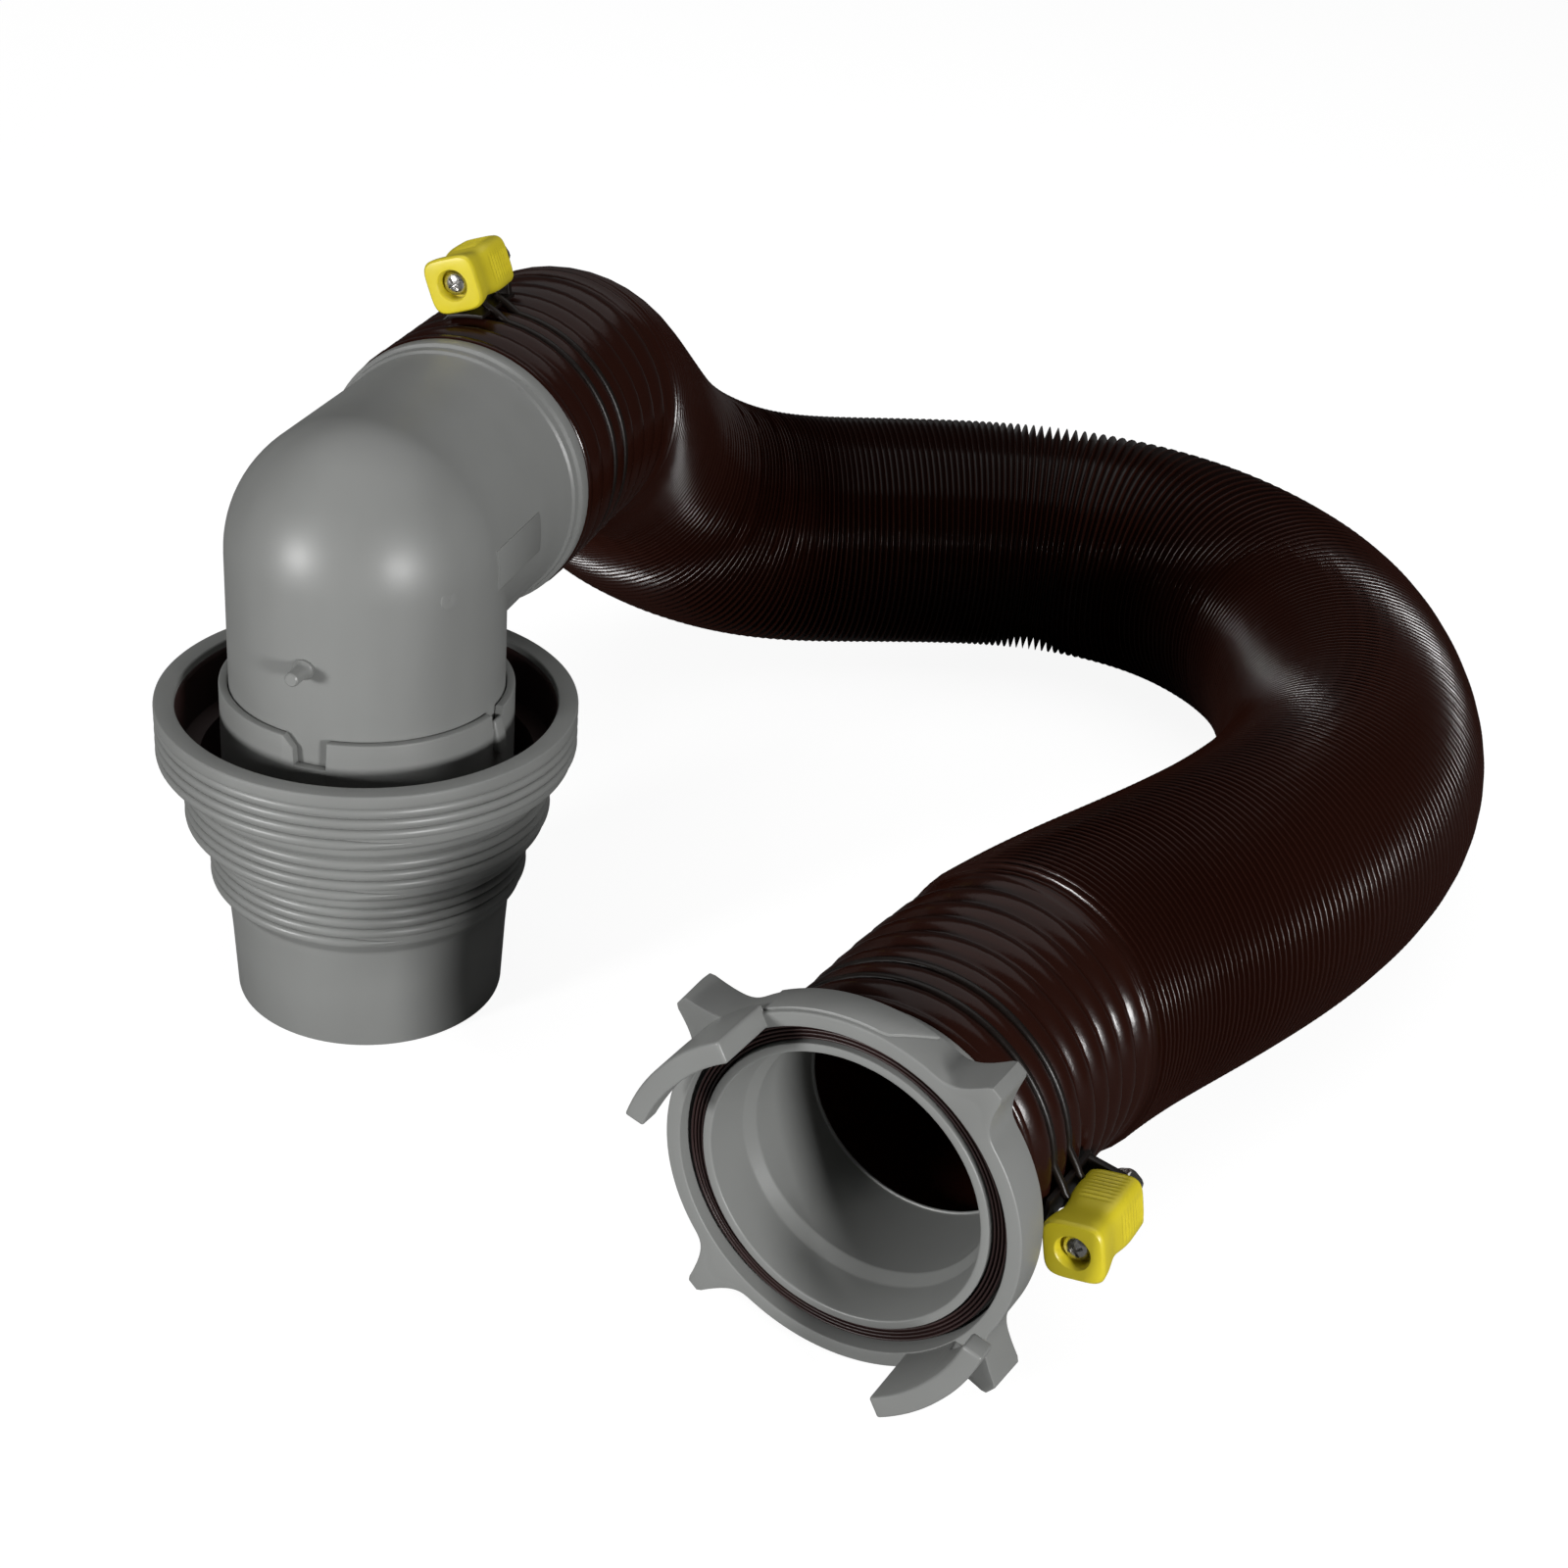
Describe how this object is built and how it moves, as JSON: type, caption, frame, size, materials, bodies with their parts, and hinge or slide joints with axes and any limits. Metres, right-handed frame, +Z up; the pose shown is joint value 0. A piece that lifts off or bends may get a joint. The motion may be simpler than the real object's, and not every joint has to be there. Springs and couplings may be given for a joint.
{
  "type": "sewer hose kit",
  "caption": "Flexible waste hose with a stepped threaded adapter and swivel elbow at one end, a swivel bayonet fitting at the other, and a knob-tightened wire clamp on each fitting",
  "frame": {"origin": "centre of the fittings' footprint, on the floor the hose lies on", "axes": "+Z up out of the adapter, +X towards the loop of the hose, +Y towards the back of the hose loop"},
  "size_m": [0.3996, 0.4911, 0.1955],
  "materials": {
    "grey_plastic": "satin moulded",
    "black_vinyl": "glossy soft vinyl",
    "brown_rubber": "smooth rubber",
    "yellow_plastic": "satin moulded",
    "coated_wire": "black coated spring wire",
    "bright_steel": "bright plated"
  },
  "bodies": {
    "fixed_kit": {"elbow_body": "grey_plastic", "elbow_face_seal": "brown_rubber", "hose": "black_vinyl", "bayonet_body": "grey_plastic", "bayonet_seal": "brown_rubber", "elbow_clamp_wire": "coated_wire", "elbow_clamp_bracket": "coated_wire", "elbow_clamp_washer": "bright_steel", "elbow_clamp_nut": "bright_steel", "bayonet_clamp_wire": "coated_wire", "bayonet_clamp_bracket": "coated_wire", "bayonet_clamp_washer": "bright_steel", "bayonet_clamp_nut": "bright_steel"},
    "adapter": {"adapter_shell": "grey_plastic", "adapter_hub": "grey_plastic", "adapter_bowl_seal": "brown_rubber"},
    "bayonet_swivel": {"bayonet_ring": "grey_plastic"},
    "elbow_knob": {"elbow_clamp_knob": "yellow_plastic", "elbow_clamp_screw": "bright_steel"},
    "bayonet_knob": {"bayonet_clamp_knob": "yellow_plastic", "bayonet_clamp_screw": "bright_steel"}
  },
  "joints": [
    {"name": "adapter_swivel", "type": "hinge", "parent": "fixed_kit", "child": "adapter", "pos_m": [-0.0773, 0.0405, 0.05], "axis": [0, 0, 1], "continuous": true},
    {"name": "bayonet_ring_swivel", "type": "hinge", "parent": "fixed_kit", "child": "bayonet_swivel", "pos_m": [0.0594, -0.106, 0.0481], "axis": [-0.471, -0.8821, 0], "continuous": true},
    {"name": "elbow_knob_turn", "type": "hinge", "parent": "fixed_kit", "child": "elbow_knob", "pos_m": [-0.06604, 0.11097, 0.18649], "axis": [0.2571, 0.9664, 0], "continuous": true},
    {"name": "bayonet_knob_turn", "type": "hinge", "parent": "fixed_kit", "child": "bayonet_knob", "pos_m": [0.11507, -0.11078, 0.03997], "axis": [-0.471, -0.8821, 0], "continuous": true}
  ]
}
